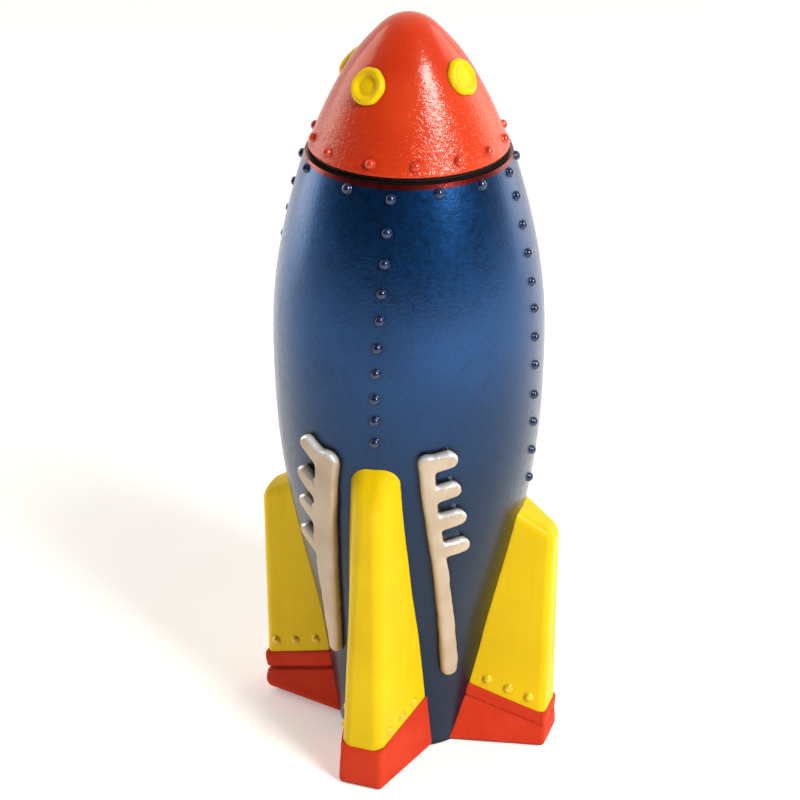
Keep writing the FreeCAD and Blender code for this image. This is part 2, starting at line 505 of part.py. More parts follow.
# Flank rivets: distances in from the outer face, and height above the boot line.
FLANK_RIVETS = {"front": ((5.2, 11.4, 17.4), 2.9), "right": ((5.0, 11.4, 18.0), 4.0), "left": ((4.2, 11.2, 18.6), 4.0)}
fin_rivet_spots = {}
for where, kind, azimuth, boots in FINS:
    reach, zt, za = dim(kind + "_reach"), dim(kind + "_top"), dim(kind + "_apex")
    mid = 0.45 * zt
    skin = dim("fin_skin")
    ra_ = hull_radius(za)
    b = new_body("fin_%s_blank" % where)
    loft(b, "fin_%s_shell" % where, kind, [0.0, mid, za + 6.0])
    doc.recompute()
    # Roof: slopes up from the outer face to the hull.
    slope = (za - zt) / (reach - ra_)
    roof = [(-reach - 5, zt - slope * 5), (-ra_ + 14, zt + slope * (reach - ra_ + 14)), (-ra_ + 14, za + 40), (-reach - 5, za + 40)]
    side_cut(b, "fin_%s_roof" % where, roof)
    doc.recompute()
    # Everything under the boot line goes, then a narrower foot is put back.
    under = [(-reach - 5, boot_line(boots, reach + 5) + 0.05), (0, boot_line(boots, 0) + 0.05), (0, -5), (-reach - 5, -5)]
    side_cut(b, "fin_%s_trim" % where, under)
    doc.recompute()
    loft(b, "fin_%s_foot" % where, kind, [dim("boot_floor"), 30.0], -dim("boot_wall") + dim("boot_proud"), -dim("boot_wall") + dim("boot_proud"))
    doc.recompute()
    # Pressed shell: hollow from the root side.
    levels = [dim("boot_floor") + skin, mid, zt - 4.0]
    loft(b, "fin_%s_hollow" % where, kind, levels, -dim("boot_wall") + dim("boot_proud") - skin, -dim("boot_wall") + dim("boot_proud") - skin, "PartDesign::SubtractiveLoft", 8.0)
    doc.recompute()
    b.Placement = Placement(Vector(0, 0, 0), Rotation(Vector(0, 0, 1), azimuth))
    trimmed = boolean("Part::Cut", "fin_%s_trimmed" % where, b, hull_form)
    doc.recompute()
    # Two tabs per fin reach through slots in the hull.
    tabs = []
    for z, height in TAB_LEVELS:
        r = hull_radius(z + height / 2)
        tabs.append(tab_box(azimuth, z, height, dim("tab_skin"), r - 3.4, dim(kind + "_reach") - skin + 0.2))
    body_shape = trimmed.Shape.fuse(tabs)
    # Flank rivet seats, on the flanks as lofted.
    spots = []
    holes = []
    flanks = trimmed.Shape.copy()
    flanks.rotate(Vector(0, 0, 0), Vector(0, 0, 1), -azimuth)

    def flank(side, y, z):
        cut = flanks.common(Part.makeLine(Vector(side * 40, -y, z), Vector(LEAN * z, -y, z)))
        return max(side * v.Point.x for v in cut.Vertexes) * side

    for side in (-1, 1):
        for inset in FLANK_RIVETS[boots][0]:
            y = reach - inset
            z = boot_line(boots, y) + FLANK_RIVETS[boots][1]
            x = flank(side, y, z)
            dy = (flank(side, y + 0.6, z) - flank(side, y - 0.6, z)) / 1.2
            dz = (flank(side, y, z + 0.6) - flank(side, y, z - 0.6)) / 1.2
            n = Vector(1, dy, -dz) * side
            n.normalize()
            p = Placement(Vector(x, -y, z), Rotation(Vector(0, 0, 1), n))
            spot = Placement(Vector(0, 0, 0), Rotation(Vector(0, 0, 1), azimuth)).multiply(p)
            spots.append(spot)
            holes.append(placed(Part.makeCylinder(dim("rivet_hole_radius"), 5.0, Vector(0, 0, -4.0)), spot))
    fin_rivet_spots[where] = spots
    drilled = body_shape.cut(Part.makeCompound(holes))
    keep(feature("fin_%s" % where, drilled.removeSplitter()))
    keep(feature("fin_rivets_%s" % where, Part.makeCompound([placed(fin_rivet.Shape, p) for p in spots])))

    # Boot: a cup over the foot, a hair proud of the fin, grooved round the middle.
    b = new_body("boot_%s_blank" % where)
    pr_ = dim("boot_proud")
    loft(b, "boot_%s_block" % where, kind, [0.0, 30.0], pr_, pr_)
    doc.recompute()
    over = [(-reach - 6, boot_line(boots, reach + 6)), (0, boot_line(boots, 0)), (0, 60), (-reach - 6, 60)]
    side_cut(b, "boot_%s_top" % where, over)
    doc.recompute()
    loft(b, "boot_%s_socket" % where, kind, [dim("boot_floor"), 30.0], -dim("boot_wall") + dim("boot_proud") + 0.05,
         -dim("boot_wall") + dim("boot_proud") + 0.05, "PartDesign::SubtractiveLoft", 8.0)
    doc.recompute()
    b.Placement = Placement(Vector(0, 0, 0), Rotation(Vector(0, 0, 1), azimuth))
    # Groove: a thin sloping band cut to a small depth.
    core = new_body("boot_%s_core" % where)
    loft(core, "boot_%s_core_block" % where, kind, [-2.0, 32.0], pr_ - dim("groove_depth"), pr_ - dim("groove_depth"), deep=8.0)
    core.Placement = b.Placement
    doc.recompute()
    gw, gd = dim("groove_width"), dim("groove_drop")
    band = Part.Face(Part.makePolygon([
        Vector(-40, -reach - 6, boot_line(boots, reach + 6) - gd), Vector(-40, 0, boot_line(boots, 0) - gd),
        Vector(-40, 0, boot_line(boots, 0) - gd - gw), Vector(-40, -reach - 6, boot_line(boots, reach + 6) - gd - gw),
        Vector(-40, -reach - 6, boot_line(boots, reach + 6) - gd)])).extrude(Vector(80, 0, 0))
    band.rotate(Vector(0, 0, 0), Vector(0, 0, 1), azimuth)
    groove = feature("boot_%s_groove" % where, band.cut(core.Shape))
    grooved = boolean("Part::Cut", "boot_%s_grooved" % where, b, groove)
    keep(boolean("Part::Cut", "boot_%s" % where, grooved, hull_form))
    doc.recompute()

# ---------------------------------------------------------------- exhaust manifolds
# Outlines in front view (x, z) before the lean; the left one is drawn as its mirror image.
INNER_EDGE = {1: [(12.4, 112.2), (14.4, 92.7), (16.1, 73.8), (16.8, 53.6), (17.0, 32.0)],
              -1: [(10.6, 109.6), (11.4, 99.5), (12.1, 88.5), (13.1, 69.0), (13.9, 53.5), (14.5, 42.7), (14.9, 35.0)]}
OUTER_EDGE = {1: [(21.0, 32.0), (20.8, 52.0), (20.1, 72.7), (18.8, 87.0), (17.0, 107.0)],
              -1: [(18.9, 35.0), (19.1, 43.0), (19.5, 52.0), (20.3, 65.0), (20.0, 86.0), (18.0, 104.0)]}
BRANCHES = {1: [(15.5, 110.6, 23.0, 112.5), (16.4, 100.4, 24.0, 102.0), (17.3, 90.4, 25.1, 91.9), (18.0, 79.8, 25.7, 81.2)],
            -1: [(14.0, 106.9, 23.6, 113.4), (16.0, 95.6, 25.0, 102.2), (16.6, 85.6, 25.1, 92.0), (17.0, 73.6, 25.8, 80.2)]}
FEET = {1: (19.0, 36.0, 19.0, 28.6, 2.0), -1: (16.9, 39.0, 16.9, 31.8, 2.0)}
BRANCH_HALF = 2.9


def capsule(x0, z0, x1, z1, half):
    """Rounded bar from (x0, z0) to (x1, z1), drawn in the front plane."""
    d = Vector(x1 - x0, 0, z1 - z0)
    d.normalize()
    n = Vector(-d.z, 0, d.x) * half
    a, b_ = Vector(x0, 0, z0), Vector(x1, 0, z1) - d * half
    edges = [Part.LineSegment(a + n, b_ + n).toShape(), Part.Arc(b_ + n, b_ + d * half, b_ - n).toShape(),
             Part.LineSegment(b_ - n, a - n).toShape(), Part.Arc(a - n, a - d * half, a + n).toShape()]
    return Part.Face(Part.Wire(edges))


def manifold_outline(sign):
    pts = [Vector(x, 0, z) for x, z in INNER_EDGE[sign] + OUTER_EDGE[sign]]
    bar = Part.Face(Part.makePolygon(pts + [pts[0]]))
    bars = [capsule(*FEET[sign])] + [capsule(*b_, BRANCH_HALF) for b_ in BRANCHES[sign]]
    solids = [f.extrude(Vector(0, -60, 0)) for f in [bar] + bars]
    shape = solids[0].fuse(solids[1:]).removeSplitter()
    if sign < 0:
        shape = shape.mirror(Vector(0, 0, 0), Vector(1, 0, 0))
    m = FreeCAD.Matrix()
    m.A13 = LEAN
    return shape.transformGeometry(m)


proud = offset_points(HULL_CURVE, -dim("manifold_proud"), 14)
PROUD_CURVE = spline(proud)
po, pi_ = end(PROUD_CURVE, True), end(PROUD_CURVE, False)
shell_body = new_body("manifold_shell")
s = new_sketch(shell_body, "manifold_shell_profile", "XZ_Plane", [
    PROUD_CURVE.copy(), line(po, (po[0] - 5, po[1])), line((po[0] - 5, po[1]), top), reversed_curve(HULL_CURVE), line(low, pi_)])
revolve(shell_body, s, "manifold_shell_turn")
doc.recompute()
for name, sign, azimuth in [("exhaust_front_right", 1, 0), ("exhaust_front_left", -1, 0), ("exhaust_rear_left", 1, 180), ("exhaust_rear_right", -1, 180)]:
    outline = manifold_outline(sign)
    outline.rotate(Vector(0, 0, 0), Vector(0, 0, 1), azimuth)
    form = feature(name + "_outline", outline)
    keep(boolean("Part::Common", name, shell_body, form))

doc.recompute()

# ---------------------------------------------------------------- checks and export
problems = []
for obj in doc.Objects:
    if "Invalid" in obj.State or "Error" in obj.State:
        problems.append("%s: state %s" % (obj.Name, obj.State))
for obj in EXPORTS:
    shape = obj.Shape
    if shape.isNull() or not shape.isValid() or not shape.Solids:
        problems.append("%s: shape is null, invalid or empty" % obj.Label)
if problems:
    raise RuntimeError("\n".join(problems))

os.makedirs("parts", exist_ok=True)
for obj in EXPORTS:
    obj.Shape.exportStep("parts/%s.step" % obj.Label)
    bb = obj.Shape.BoundBox
    print("%-26s solids %2d  vol %9.1f  x %6.1f..%6.1f  y %6.1f..%6.1f  z %6.1f..%6.1f"
          % (obj.Label, len(obj.Shape.Solids), obj.Shape.Volume, bb.XMin, bb.XMax, bb.YMin, bb.YMax, bb.ZMin, bb.ZMax))
print("nodes", len(EXPORTS))
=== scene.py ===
import math

import bpy
import numpy as np
from mathutils import Matrix, Vector


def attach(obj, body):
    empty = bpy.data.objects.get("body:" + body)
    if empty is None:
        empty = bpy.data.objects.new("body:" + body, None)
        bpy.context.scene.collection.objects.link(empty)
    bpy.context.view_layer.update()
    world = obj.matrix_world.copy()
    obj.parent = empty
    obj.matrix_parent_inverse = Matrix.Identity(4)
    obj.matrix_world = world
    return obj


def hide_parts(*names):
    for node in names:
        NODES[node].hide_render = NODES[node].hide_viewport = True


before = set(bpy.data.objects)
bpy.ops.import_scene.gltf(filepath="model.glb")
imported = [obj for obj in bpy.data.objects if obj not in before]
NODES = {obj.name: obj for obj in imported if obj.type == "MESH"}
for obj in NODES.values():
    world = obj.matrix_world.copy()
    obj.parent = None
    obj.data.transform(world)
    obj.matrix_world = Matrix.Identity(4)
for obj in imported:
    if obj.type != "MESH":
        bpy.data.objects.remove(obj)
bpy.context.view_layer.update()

MM = 0.001
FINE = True


# ------------------------------------------------------------------ profiles of the hull and nose, in millimetres
HULL_Z = [0.4, 20.4, 40.8, 61.2, 81.6, 102.0, 124.0, 148.0, 171.3, 190.7]
HULL_R = [22.3, 24.9, 27.9, 32.1, 36.1, 38.9, 39.9, 39.2, 35.1, 29.5]
NOSE_P = [(28.8, 192.3), (27.0, 196.0), (24.95, 200.8), (20.15, 210.5), (15.35, 218.3), (9.75, 224.8), (5.7, 228.35), (0.0, 230.0)]


def spline(x, y, first=None, last=None):
    """Cubic spline y(x), natural or with given end slopes."""
    x, y = np.asarray(x, float), np.asarray(y, float)
    n = len(x)
    h = np.diff(x)
    a = np.zeros((n, n))
    b = np.zeros(n)
    a[0, 0] = a[-1, -1] = 1.0
    if first is not None:
        a[0, 0], a[0, 1], b[0] = 2 * h[0], h[0], 6 * ((y[1] - y[0]) / h[0] - first)
    if last is not None:
        a[-1, -1], a[-1, -2], b[-1] = 2 * h[-1], h[-1], 6 * (last - (y[-1] - y[-2]) / h[-1])
    for i in range(1, n - 1):
        a[i, i - 1], a[i, i], a[i, i + 1] = h[i - 1], 2 * (h[i - 1] + h[i]), h[i]
        b[i] = 6 * ((y[i + 1] - y[i]) / h[i] - (y[i] - y[i - 1]) / h[i - 1])
    m = np.linalg.solve(a, b)

    def f(q):
        q = np.clip(np.asarray(q, float), x[0], x[-1])
        i = np.clip(np.searchsorted(x, q) - 1, 0, n - 2)
        t = q - x[i]
        return (y[i] + t * ((y[i + 1] - y[i]) / h[i] - h[i] * (2 * m[i] + m[i + 1]) / 6)
                + t * t * m[i] / 2 + t ** 3 * (m[i + 1] - m[i]) / (6 * h[i]))
    return f


hull_r = spline(HULL_Z, HULL_R)


def nose_profile():
    """Radius of the nose by height, from its widest CAD points."""
    me = NODES["nose_cone"].data
    co = np.empty(len(me.vertices) * 3)
    me.vertices.foreach_get("co", co)
    co = co.reshape(-1, 3) / MM
    r, z = np.hypot(co[:, 0], co[:, 1]), co[:, 2]
    zs, rs = [], []
    for lo in np.arange(192.4, 228.6, 2.0):
        m = (z >= lo) & (z < lo + 2.0)
        if m.any():
            k = np.argmax(r[m] + 0.45 * (z[m] - lo))
            zs.append(z[m][k])
            rs.append(r[m][k])
    zs, first = np.unique(np.round(zs, 4), return_index=True)
    return spline(zs, np.array(rs)[first])


nose_r = nose_profile()


# ------------------------------------------------------------------ mesh helpers
def make_object(name, verts_mm, faces, body, smooth=True, replaces=()):
    me = bpy.data.meshes.new(name)
    me.from_pydata([tuple(v) for v in np.asarray(verts_mm) * MM], [], [tuple(int(i) for i in f) for f in faces])
    me.validate()
    me.update()
    if smooth:
        me.polygons.foreach_set("use_smooth", [True] * len(me.polygons))
    ob = bpy.data.objects.new(name, me)
    bpy.context.scene.collection.objects.link(ob)
    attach(ob, body)
    if replaces:
        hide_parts(*replaces)
    return ob


def cad_points(name):
    me = NODES[name].data
    co = np.empty(len(me.vertices) * 3)
    me.vertices.foreach_get("co", co)
    return co.reshape(-1, 3) / MM


def outward(me_obj):
    """Makes the face normals point outwards."""
    import bmesh
    bm = bmesh.new()
    bm.from_mesh(me_obj.data)
    bmesh.ops.recalc_face_normals(bm, faces=bm.faces)
    bm.to_mesh(me_obj.data)
    bm.free()


def islands(name):
    """The separate solids of a CAD node, as arrays of points in millimetres."""
    me = NODES[name].data
    co = cad_points(name)
    key = np.round(co, 3)
    _, first, inverse = np.unique(key, axis=0, return_index=True, return_inverse=True)
    inverse = inverse.ravel()
    parent = list(range(len(first)))

    def find(i):
        while parent[i] != i:
            parent[i] = parent[parent[i]]
            i = parent[i]
        return i

    for p in me.polygons:
        vs = [inverse[i] for i in p.vertices]
        a = find(vs[0])
        for v in vs[1:]:
            b = find(v)
            if a != b:
                parent[b] = a
    roots = np.array([find(i) for i in range(len(first))])
    return [co[first[roots == r]] for r in np.unique(roots)]


def axis_frame(points, head_height):
    """Origin (head seat) and outward axis of a round headed piece from its points."""
    hull_c = points.mean(0)
    c = points - hull_c
    cov = c.T @ c
    w, v = np.linalg.eigh(cov)
    pairs = [(abs(w[0] - w[1]), 2), (abs(w[1] - w[2]), 0)]
    n = v[:, min(pairs)[1]]
    t = c @ n
    # the head end is the wide one
    rad = np.linalg.norm(c - np.outer(t, n), axis=1)
    wide = t[rad > 0.95 * rad.max()].mean()
    mid = 0.5 * (t.max() + t.min())
    if wide < mid:
        n, t = -n, -t
    centre = hull_c + n * t.max()
    # true axis point: mean of the widest ring
    ring = points[rad > 0.98 * rad.max()]
    axis_point = ring.mean(0)
    seat = axis_point + n * ((centre - axis_point) @ n - head_height)
    return seat, n


def basis(n):
    n = n / np.linalg.norm(n)
    a = np.array([0, 0, 1.0]) if abs(n[2]) < 0.9 else np.array([1.0, 0, 0])
    u = np.cross(a, n)
    u /= np.linalg.norm(u)
    return u, np.cross(n, u), n


def lathe_piece(profile, seat, n, segments, rng=None, wobble=0.0, squash=(1.0, 1.0)):
    """Points and faces of a small turned piece: profile is (radius, height) from rim to tip."""
    u, v, w = basis(n)
    ph = rng.uniform(0, 2 * math.pi, 3) if rng is not None else (0, 0, 0)
    verts, faces = [], []
    for r, h in profile[:-1]:
        for k in range(segments):
            a = 2 * math.pi * k / segments
            f = 1 + wobble * (math.sin(2 * a + ph[0]) * 0.5 + math.sin(3 * a + ph[1]) * 0.35 + math.sin(5 * a + ph[2]) * 0.15)
            verts.append(seat + u * (r * f * squash[0] * math.cos(a)) + v * (r * f * squash[1] * math.sin(a)) + w * h)
    verts.append(seat + w * profile[-1][1])
    tip = len(verts) - 1
    m = len(profile) - 1
    for i in range(m - 1):
        for k in range(segments):
            k2 = (k + 1) % segments
            faces.append((i * segments + k, i * segments + k2, (i + 1) * segments + k2, (i + 1) * segments + k))
    for k in range(segments):
        faces.append(((m - 1) * segments + k, (m - 1) * segments + (k + 1) % segments, tip))
    faces.append(tuple(range(segments - 1, -1, -1)))
    return verts, faces


def join_parts(parts):
    verts, faces, base = [], [], 0
    for v, f in parts:
        verts.extend(v)
        faces.extend([tuple(i + base for i in q) for q in f])
        base += len(v)
    return np.array(verts), faces


# ------------------------------------------------------------------ materials
def new_material(name):
    m = bpy.data.materials.new(name)
    m.use_nodes = True
    nt = m.node_tree
    nt.nodes.clear()
    out = nt.nodes.new("ShaderNodeOutputMaterial")
    bsdf = nt.nodes.new("ShaderNodeBsdfPrincipled")
    nt.links.new(bsdf.outputs[0], out.inputs[0])
    return m, nt, bsdf


def node(nt, kind, **props):
    n = nt.nodes.new(kind)
    for k, v in props.items():
        setattr(n, k, v)
    return n


def coords(nt):
    return node(nt, "ShaderNodeTexCoord").outputs["Object"]


def mapped(nt, vec, scale=(1, 1, 1)):
    mp = node(nt, "ShaderNodeMapping")
    mp.inputs["Scale"].default_value = scale
    nt.links.new(vec, mp.inputs["Vector"])
    return mp.outputs["Vector"]


def noise(nt, vec, scale, detail=3.0, rough=0.5, distort=0.0):
    n = node(nt, "ShaderNodeTexNoise")
    n.inputs["Scale"].default_value = scale
    n.inputs["Detail"].default_value = detail
    n.inputs["Roughness"].default_value = rough
    n.inputs["Distortion"].default_value = distort
    nt.links.new(vec, n.inputs["Vector"])
    return n.outputs["Fac"]


def ramp(nt, fac, stops, interp="LINEAR"):
    r = node(nt, "ShaderNodeValToRGB")
    r.color_ramp.interpolation = interp
    els = r.color_ramp.elements
    while len(els) < len(stops):
        els.new(0.5)
    for e, (p, c) in zip(els, stops):
        e.position = p
        e.color = (*c, 1.0) if len(c) == 3 else c
    nt.links.new(fac, r.inputs["Fac"])
    return r.outputs["Color"]


def mix(nt, fac, a, b, blend="MIX"):
    m = node(nt, "ShaderNodeMix", data_type="RGBA", blend_type=blend)
    if isinstance(fac, float):
        m.inputs[0].default_value = fac
    else:
        nt.links.new(fac, m.inputs[0])
    for sock, val in ((m.inputs[6], a), (m.inputs[7], b)):
        if isinstance(val, tuple):
            sock.default_value = (*val, 1.0)
        else:
            nt.links.new(val, sock)
    return m.outputs[2]


def math_node(nt, op, a, b=0.0, clamp=False):
    m = node(nt, "ShaderNodeMath", operation=op, use_clamp=clamp)
    for sock, val in ((m.inputs[0], a), (m.inputs[1], b)):
        if isinstance(val, (int, float)):
            sock.default_value = val
        else:
            nt.links.new(val, sock)
    return m.outputs[0]


def range_map(nt, val, a, b, c=0.0, d=1.0):
    m = node(nt, "ShaderNodeMapRange")
    m.interpolation_type = "SMOOTHSTEP"
    nt.links.new(val, m.inputs["Value"])
    m.inputs["From Min"].default_value = a
    m.inputs["From Max"].default_value = b
    m.inputs["To Min"].default_value = c
    m.inputs["To Max"].default_value = d
    return m.outputs["Result"]


def bump(nt, height, strength, distance, under=None):
    b = node(nt, "ShaderNodeBump")
    b.inputs["Strength"].default_value = strength
    b.inputs["Distance"].default_value = distance
    nt.links.new(height, b.inputs["Height"])
    if under is not None:
        nt.links.new(under, b.inputs["Normal"])
    return b.outputs["Normal"]


def separate(nt, vec):
    s = node(nt, "ShaderNodeSeparateXYZ")
    nt.links.new(vec, s.inputs[0])
    return s.outputs


def ao_painted_shade(nt, distance=0.0012):
    """Painted shade: darkening where pieces meet and in hollows, taken from ambient occlusion."""
    ao = node(nt, "ShaderNodeAmbientOcclusion")
    ao.inputs["Distance"].default_value = distance
    ao.samples = 6
    return ao.outputs["AO"]


def hull_material():
    m, nt, b = new_material("hull_blue_enamel")
    v = coords(nt)
    big = noise(nt, v, 38.0, 2.0, 0.5)
    mid = noise(nt, v, 420.0, 3.0, 0.6)
    flake = noise(nt, v, 3600.0, 2.0, 0.7)
    base = ramp(nt, big, [(0.30, (0.005, 0.052, 0.155)), (0.70, (0.008, 0.075, 0.225))])
    base = mix(nt, range_map(nt, flake, 0.50, 0.74, 0.0, 0.40), base, (0.05, 0.17, 0.42))
    base = mix(nt, range_map(nt, mid, 0.30, 0.50, 0.22, 0.0), base, (0.012, 0.020, 0.050))
    z = separate(nt, v)[2]
    # darker and greyer towards the bottom of the hull
    low = range_map(nt, z, 0.165, 0.075, 0.0, 0.80)
    base = mix(nt, low, base, (0.009, 0.016, 0.027))
    rim = range_map(nt, z, 0.1893, 0.1896, 0.0, 1.0)
    base = mix(nt, rim, base, (0.20, 0.014, 0.010))
    # painted shade: ambient occlusion darkens the hull colour to near black at seams, under fins and between parts
    painted_crevice_shade = ao_painted_shade(nt, 0.0022)
    base = mix(nt, range_map(nt, painted_crevice_shade, 0.60, 0.95, 0.9, 0.0), base, (0.004, 0.005, 0.010))
    nt.links.new(base, b.inputs["Base Color"])
    b.inputs["Metallic"].default_value = 0.88
    nt.links.new(range_map(nt, mid, 0.3, 0.7, 0.32, 0.40), b.inputs["Roughness"])
    b.inputs["Coat Weight"].default_value = 0.60
    b.inputs["Coat Roughness"].default_value = 0.20
    b.inputs["Coat IOR"].default_value = 1.5
    n1 = bump(nt, noise(nt, v, 1100.0, 3.0, 0.55), 0.15, 0.0004)
    n2 = bump(nt, flake, 0.10, 0.0002, n1)
    nt.links.new(n2, b.inputs["Normal"])
    nt.links.new(n1, b.inputs["Coat Normal"])
    return m


def nose_material(name="nose_red_enamel", strength=1.0):
    m, nt, b = new_material(name)
    v = coords(nt)
    big = noise(nt, v, 60.0, 3.0, 0.5)
    speck = noise(nt, v, 1500.0, 2.0, 0.6)
    base = ramp(nt, big, [(0.3, (0.58, 0.050, 0.012)), (0.7, (0.66, 0.068, 0.016))])
    base = mix(nt, range_map(nt, speck, 0.30, 0.44, 0.35, 0.0), base, (0.50, 0.030, 0.010))
    # painted shade: ambient occlusion darkens the red where parts meet
    painted_crevice_shade = ao_painted_shade(nt, 0.0014)
    base = mix(nt, range_map(nt, painted_crevice_shade, 0.50, 0.92, 0.7, 0.0), base, (0.16, 0.012, 0.008))
    nt.links.new(base, b.inputs["Base Color"])
    nt.links.new(range_map(nt, big, 0.3, 0.7, 0.36, 0.46), b.inputs["Roughness"])
    b.inputs["Specular IOR Level"].default_value = 0.12
    b.inputs["Coat Weight"].default_value = 0.8
    b.inputs["Coat Roughness"].default_value = 0.13
    stretched = mapped(nt, v, (1.0, 1.0, 1.7))
    wrinkle = noise(nt, stretched, 620.0, 3.0, 0.55, 0.9)
    z = separate(nt, v)[2]
    calm = range_map(nt, z, 0.222, 0.196, 0.18, 1.0)
    h = math_node(nt, "MULTIPLY", wrinkle, calm)
    n1 = bump(nt, h, 0.55 * strength, 0.0006)
    nt.links.new(n1, b.inputs["Coat Normal"])
    n2 = bump(nt, h, 0.30 * strength, 0.0005)
    nt.links.new(n2, b.inputs["Normal"])
    return m


def yellow_material(name="fin_yellow_enamel", gloss=0.42, bright=1.0):
    m, nt, b = new_material(name)
    v = coords(nt)
    streak = noise(nt, mapped(nt, v, (1.0, 1.0, 0.10)), 330.0, 3.0, 0.55)
    big = noise(nt, v, 45.0, 2.0, 0.5)
    fine = noise(nt, v, 1900.0, 2.0, 0.6)
    base = ramp(nt, big, [(0.3, (0.78 * bright, 0.535 * bright, 0.003)), (0.7, (0.85 * bright, 0.605 * bright, 0.006))])
    base = mix(nt, range_map(nt, streak, 0.54, 0.74, 0.0, 0.30), base, (0.80, 0.45, 0.003))
    base = mix(nt, range_map(nt, fine, 0.26, 0.40, 0.28, 0.0), base, (0.60, 0.36, 0.010))
    # painted shade: ambient occlusion darkens the yellow where parts meet
    painted_crevice_shade = ao_painted_shade(nt, 0.0012)
    base = mix(nt, range_map(nt, painted_crevice_shade, 0.45, 0.90, 0.75, 0.0), base, (0.30, 0.16, 0.010))
    nt.links.new(base, b.inputs["Base Color"])
    nt.links.new(range_map(nt, streak, 0.3, 0.7, gloss - 0.05, gloss + 0.07), b.inputs["Roughness"])
    b.inputs["Specular IOR Level"].default_value = 0.15
    b.inputs["Coat Weight"].default_value = 0.12
    b.inputs["Coat Roughness"].default_value = 0.30
    n1 = bump(nt, noise(nt, v, 260.0, 3.0, 0.5), 0.10, 0.0008)
    n2 = bump(nt, noise(nt, v, 1500.0, 2.0, 0.6), 0.12, 0.0003, n1)
    nt.links.new(n2, b.inputs["Normal"])
    return m


def boot_material():
    m, nt, b = new_material("boot_red_rubber")
    v = coords(nt)
    grain = noise(nt, v, 2400.0, 3.0, 0.65)
    big = noise(nt, v, 80.0, 2.0, 0.5)
    base = ramp(nt, big, [(0.3, (0.60, 0.050, 0.018)), (0.7, (0.70, 0.068, 0.024))])
    base = mix(nt, range_map(nt, grain, 0.52, 0.74, 0.0, 0.30), base, (0.78, 0.12, 0.05))
    base = mix(nt, range_map(nt, grain, 0.30, 0.46, 0.40, 0.0), base, (0.40, 0.020, 0.010))
    # painted shade: ambient occlusion darkens the boot red where parts meet
    painted_crevice_shade = ao_painted_shade(nt, 0.0014)
    base = mix(nt, range_map(nt, painted_crevice_shade, 0.45, 0.92, 0.85, 0.0), base, (0.10, 0.006, 0.004))
    nt.links.new(base, b.inputs["Base Color"])
    b.inputs["Specular IOR Level"].default_value = 0.15
    nt.links.new(range_map(nt, grain, 0.3, 0.7, 0.55, 0.72), b.inputs["Roughness"])
    n1 = bump(nt, grain, 0.35, 0.0004)
    nt.links.new(n1, b.inputs["Normal"])
    return m


def exhaust_material():
    m, nt, b = new_material("exhaust_warm_silver")
    v = coords(nt)
    geo = node(nt, "ShaderNodeNewGeometry")
    up = separate(nt, geo.outputs["True Normal"])[2]
    big = noise(nt, v, 90.0, 2.0, 0.5)
    edge = noise(nt, v, 560.0, 4.0, 0.62, 0.4)
    fine = noise(nt, v, 1800.0, 2.0, 0.6)
    base = ramp(nt, big, [(0.3, (0.50, 0.385, 0.27)), (0.7, (0.60, 0.49, 0.375))])
    base = mix(nt, range_map(nt, fine, 0.28, 0.42, 0.25, 0.0), base, (0.42, 0.32, 0.20))
    # partly painted highlight: faces turned upwards, broken up by edge noise, get near-white colour; partly rubbed
    # shinier metal there (more metallic and coat, less rough)
    painted_highlight_and_wear = math_node(nt, "ADD", up, math_node(nt, "MULTIPLY", math_node(nt, "SUBTRACT", edge, 0.5), 0.9))
    bright = range_map(nt, painted_highlight_and_wear, 0.26, 0.40, 0.0, 1.0)
    z = separate(nt, v)[2]
    bright = math_node(nt, "MULTIPLY", bright, range_map(nt, z, 0.070, 0.076, 0.0, 1.0))
    # painted highlight mixed into the base colour on the upward faces
    base = mix(nt, bright, base, (0.96, 0.95, 0.93))
    # painted shade: ambient occlusion darkens the exhaust to dark brown where it meets the hull
    painted_crevice_shade = ao_painted_shade(nt, 0.0016)
    base = mix(nt, range_map(nt, painted_crevice_shade, 0.40, 0.92, 0.92, 0.0), base, (0.085, 0.045, 0.018))
    nt.links.new(base, b.inputs["Base Color"])
    flecks = range_map(nt, noise(nt, v, 1250.0, 3.0, 0.65), 0.36, 0.43, 1.0, 0.0)
    base = mix(nt, math_node(nt, "MULTIPLY", flecks, math_node(nt, "MULTIPLY", bright, 0.85)), base, (0.085, 0.050, 0.030))
    nt.links.new(math_node(nt, "ADD", math_node(nt, "MULTIPLY", bright, 0.20), 0.20), b.inputs["Metallic"])
    nt.links.new(bright, b.inputs["Coat Weight"])
    b.inputs["Coat Roughness"].default_value = 0.07
    nt.links.new(math_node(nt, "SUBTRACT", 0.44, math_node(nt, "MULTIPLY", bright, 0.27)), b.inputs["Roughness"])
    n1 = bump(nt, edge, 0.25, 0.0005)
    n2 = bump(nt, fine, 0.15, 0.0003, n1)
    nt.links.new(n2, b.inputs["Normal"])
    return m


def rivet_material(name, colour, dark, rough=0.22):
    m, nt, b = new_material(name)
    v = coords(nt)
    big = noise(nt, v, 300.0, 2.0, 0.5)
    fine = noise(nt, v, 2200.0, 2.0, 0.6)
    base = mix(nt, range_map(nt, big, 0.35, 0.65, 0.0, 0.6), colour, dark)
    base = mix(nt, range_map(nt, fine, 0.28, 0.42, 0.4, 0.0), base, dark)
    # painted shade: ambient occlusion darkens the rivet colour where heads meet the skin
    painted_crevice_shade = ao_painted_shade(nt, 0.0008)
    base = mix(nt, range_map(nt, painted_crevice_shade, 0.40, 0.85, 0.8, 0.0), base, tuple(c * 0.3 for c in dark))
    nt.links.new(base, b.inputs["Base Color"])
    nt.links.new(range_map(nt, fine, 0.3, 0.7, rough - 0.04, rough + 0.06), b.inputs["Roughness"])
    b.inputs["Coat Weight"].default_value = 0.7
    b.inputs["Coat Roughness"].default_value = 0.12
    nt.links.new(bump(nt, noise(nt, v, 900.0, 2.0, 0.5), 0.15, 0.0003), b.inputs["Normal"])
    return m


